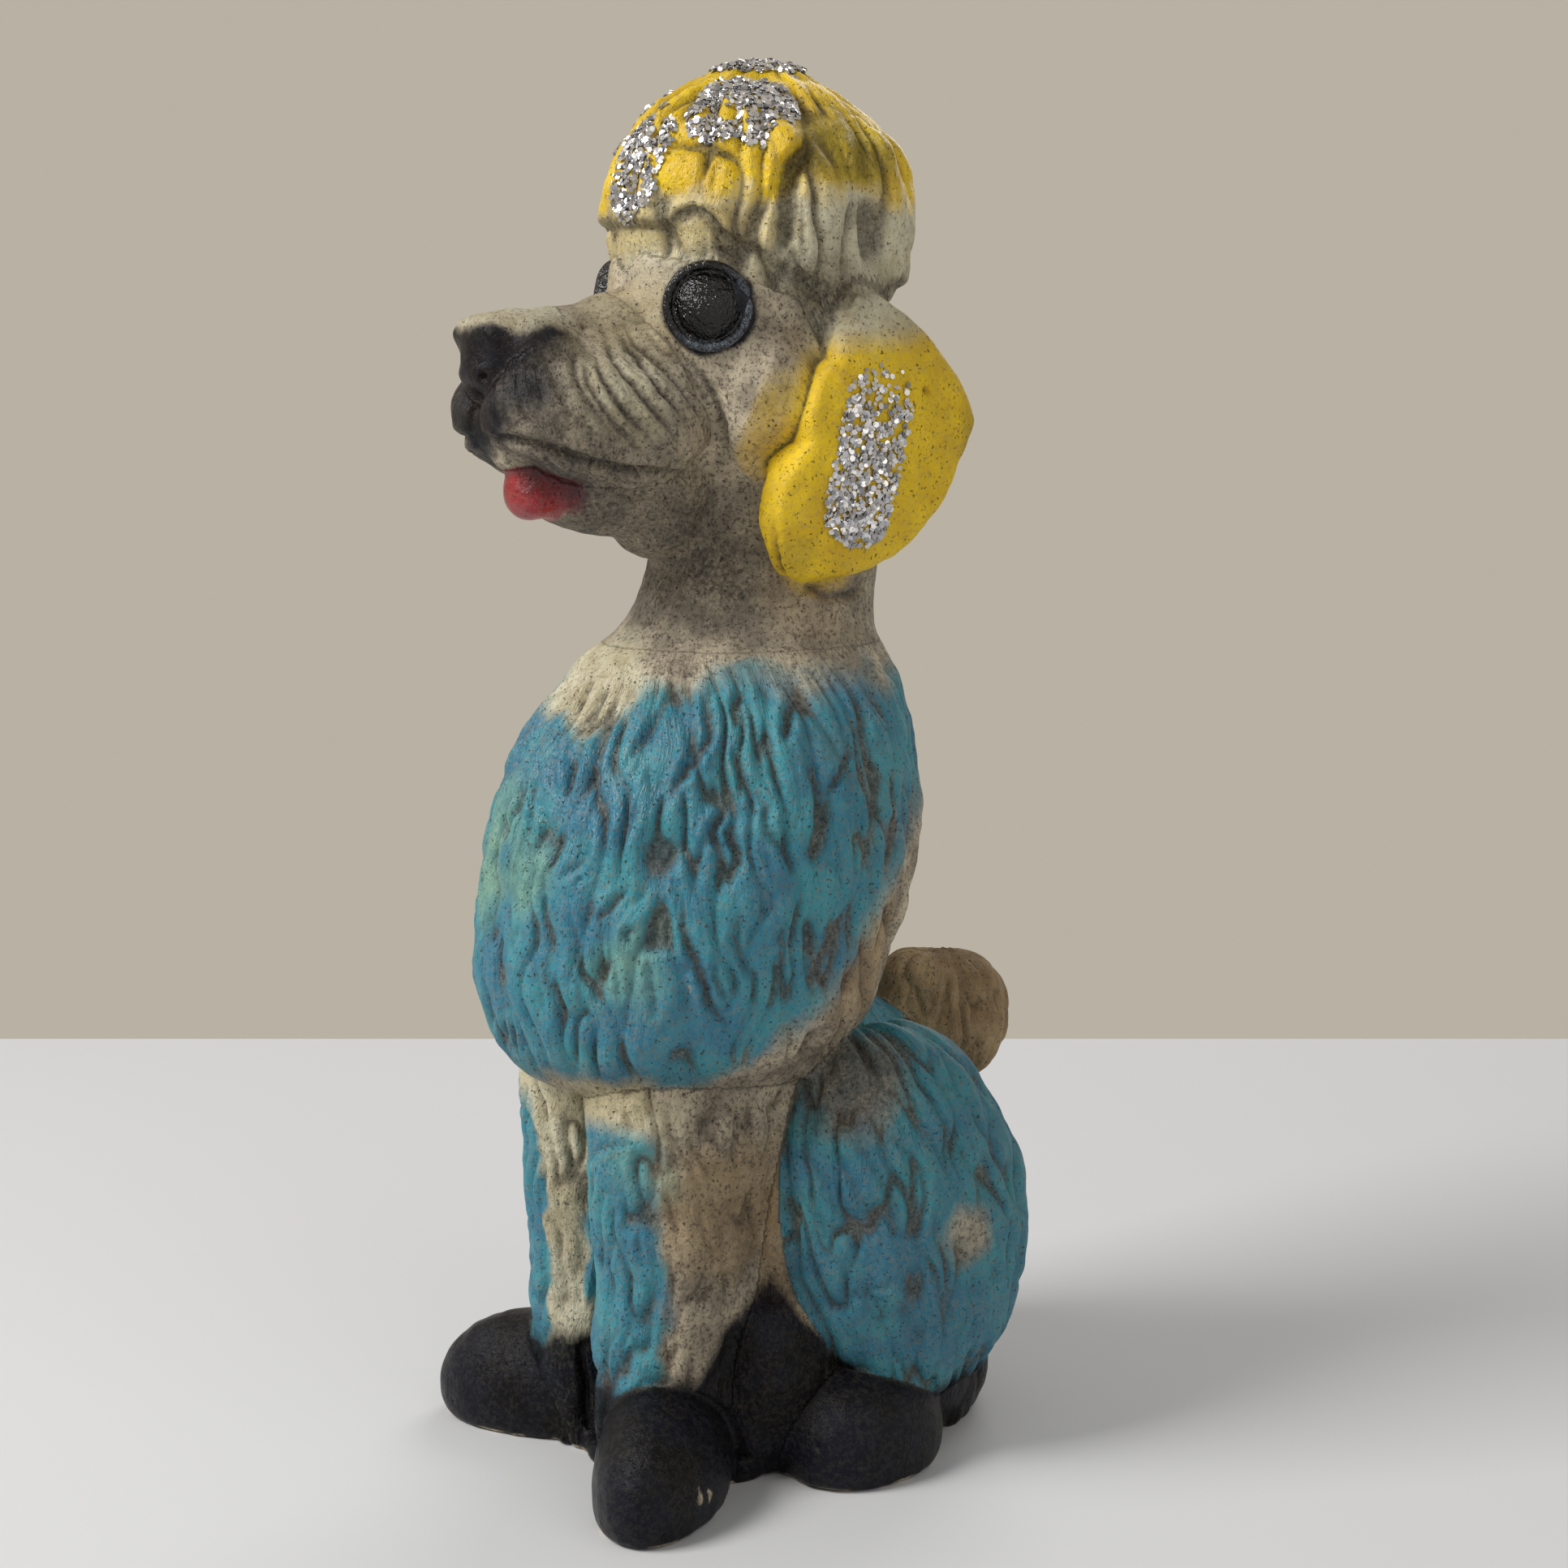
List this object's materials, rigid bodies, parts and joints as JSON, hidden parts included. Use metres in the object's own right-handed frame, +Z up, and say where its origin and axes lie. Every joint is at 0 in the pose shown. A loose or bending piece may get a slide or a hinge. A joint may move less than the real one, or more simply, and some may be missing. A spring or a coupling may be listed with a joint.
{
  "type": "chalkware figure",
  "caption": "Seated poodle ornament cast in painted plaster, with glued glitter patches and a flat base to stand on.",
  "frame": {"origin": "on the plane it stands on, under the middle of the coat, on the plane of symmetry", "axes": "+Z up; the figure faces -Y; +X to its own left side"},
  "size_m": [0.104, 0.1425, 0.3159],
  "materials": {
    "blue_paint": "sprayed blue paint on cast plaster, satin, worn through in the grooves",
    "bare_plaster": "bare and thinly sprayed plaster, matt, aged cream with brown dirt",
    "yellow_paint": "sprayed yellow paint on cast plaster, satin",
    "black_enamel": "black enamel paint on plaster, glossy, chipped at the edges",
    "red_enamel": "red enamel paint on plaster, glossy",
    "silver_glitter": "silver glitter flakes in glue"
  },
  "bodies": {
    "root": {"torso": "blue_paint", "rump": "blue_paint", "left_haunch": "blue_paint", "right_haunch": "blue_paint", "left_foreleg": "blue_paint", "right_foreleg": "blue_paint", "neck": "bare_plaster", "head": "bare_plaster", "muzzle": "bare_plaster", "lower_jaw": "bare_plaster", "tail": "bare_plaster", "topknot": "yellow_paint", "left_ear": "yellow_paint", "right_ear": "yellow_paint", "left_forepaw": "black_enamel", "right_forepaw": "black_enamel", "left_hind_foot": "black_enamel", "right_hind_foot": "black_enamel", "nose": "black_enamel", "left_eye": "black_enamel", "right_eye": "black_enamel", "tongue": "red_enamel", "topknot_glitter_front": "silver_glitter", "topknot_glitter_left": "silver_glitter", "topknot_glitter_right": "silver_glitter", "topknot_glitter_crown": "silver_glitter", "ear_glitter_left": "silver_glitter", "ear_glitter_right": "silver_glitter"}
  },
  "joints": []
}
